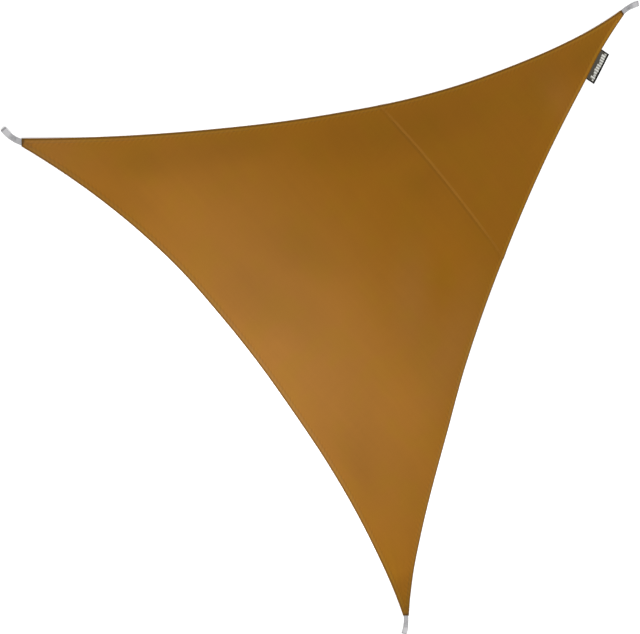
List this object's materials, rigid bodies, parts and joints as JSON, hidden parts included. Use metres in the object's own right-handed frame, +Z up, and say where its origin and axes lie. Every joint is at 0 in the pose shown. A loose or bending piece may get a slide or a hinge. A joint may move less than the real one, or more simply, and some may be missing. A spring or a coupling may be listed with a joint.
{
  "type": "triangular shade sail",
  "caption": "Triangular shade sail of coated cloth with drawn-in hemmed edges, a lapped seam, webbing loops at its corners and a small woven tag, laid out flat.",
  "frame": {"origin": "on the surface that the sail lies on, under the middle of the box round the whole sail", "axes": "+Z up from the surface; +X along the chord from the left corner to the right corner; the foot corner points to -Y"},
  "size_m": [3.1618, 2.7606, 0.0086],
  "materials": {
    "cloth": "ochre-brown coated plain-weave polyester, matt with a faint sheen",
    "webbing": "light grey flat-woven polyester webbing",
    "tag": "black woven satin tag with plain pale bars"
  },
  "bodies": {
    "root": {"panel_main": "cloth", "panel_corner": "cloth", "strap_left": "webbing", "strap_right": "webbing", "strap_foot": "webbing", "tag": "tag"}
  },
  "joints": []
}
